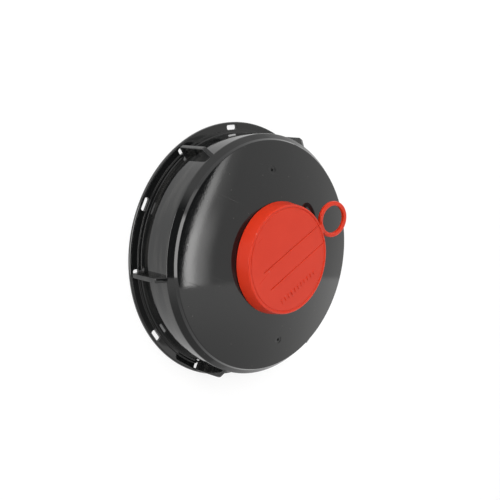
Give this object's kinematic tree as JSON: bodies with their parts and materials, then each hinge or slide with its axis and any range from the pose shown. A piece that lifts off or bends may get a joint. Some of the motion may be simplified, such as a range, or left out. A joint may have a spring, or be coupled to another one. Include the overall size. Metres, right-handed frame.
{
  "type": "tank screw lid",
  "caption": "Round black screw lid for a tank neck, with slotted flange, grip ribs, inner thread and seal, and a central bung under a red tear-off cap with a pull ring.",
  "frame": {"origin": "centre of the flange's back face, the side that looks at the tank; it is also the middle of the lowest face when the lid lies on a table", "axes": "+Z along the lid's axis, out of the tank and through the seal cap; the lid's turn round Z is chosen so that the pull ring points 27 degrees from +X towards +Y"},
  "size_m": [0.186, 0.186, 0.0561],
  "materials": {
    "black_polyethylene": "satin gloss moulded black polyethylene",
    "bung_polyethylene": "fine matt moulded black polyethylene",
    "black_rubber": "matt rubber with a faint bloom",
    "red_polypropylene": "satin moulded red polypropylene"
  },
  "bodies": {
    "lid": {"lid_shell": "black_polyethylene", "lid_gasket": "black_rubber"},
    "bung_seal": {"bung_gasket": "black_rubber"},
    "bung": {"bung_plug": "bung_polyethylene"},
    "cap": {"seal_cap": "red_polypropylene"},
    "strip": {"tear_strip": "red_polypropylene"},
    "ring": {"pull_ring": "red_polypropylene"}
  },
  "joints": [
    {"name": "bung_lift", "type": "slide", "parent": "lid", "child": "bung_seal", "axis": [0, 0, 1], "range_m": [0, 0.012]},
    {"name": "bung_turn", "type": "hinge", "parent": "bung_seal", "child": "bung", "pos_m": [0, 0, 0.041], "axis": [0, 0, 1], "range_deg": [0, 1080]},
    {"name": "cap_lift", "type": "slide", "parent": "bung_seal", "child": "cap", "axis": [0, 0, 1], "range_m": [0, 0.04]},
    {"name": "strip_peel", "type": "hinge", "parent": "cap", "child": "strip", "pos_m": [-0.02097, -0.01237, 0.0544], "axis": [0.454, -0.891, 0], "range_deg": [0, 120]},
    {"name": "ring_lift", "type": "hinge", "parent": "strip", "child": "ring", "pos_m": [0.03358, 0.01801, 0.0529], "axis": [0.454, -0.891, 0], "range_deg": [0, 95]}
  ],
  "couplings": [
    {"joint": "bung_lift", "follows": "bung_turn", "m_per_rad": 0.00063662}
  ]
}
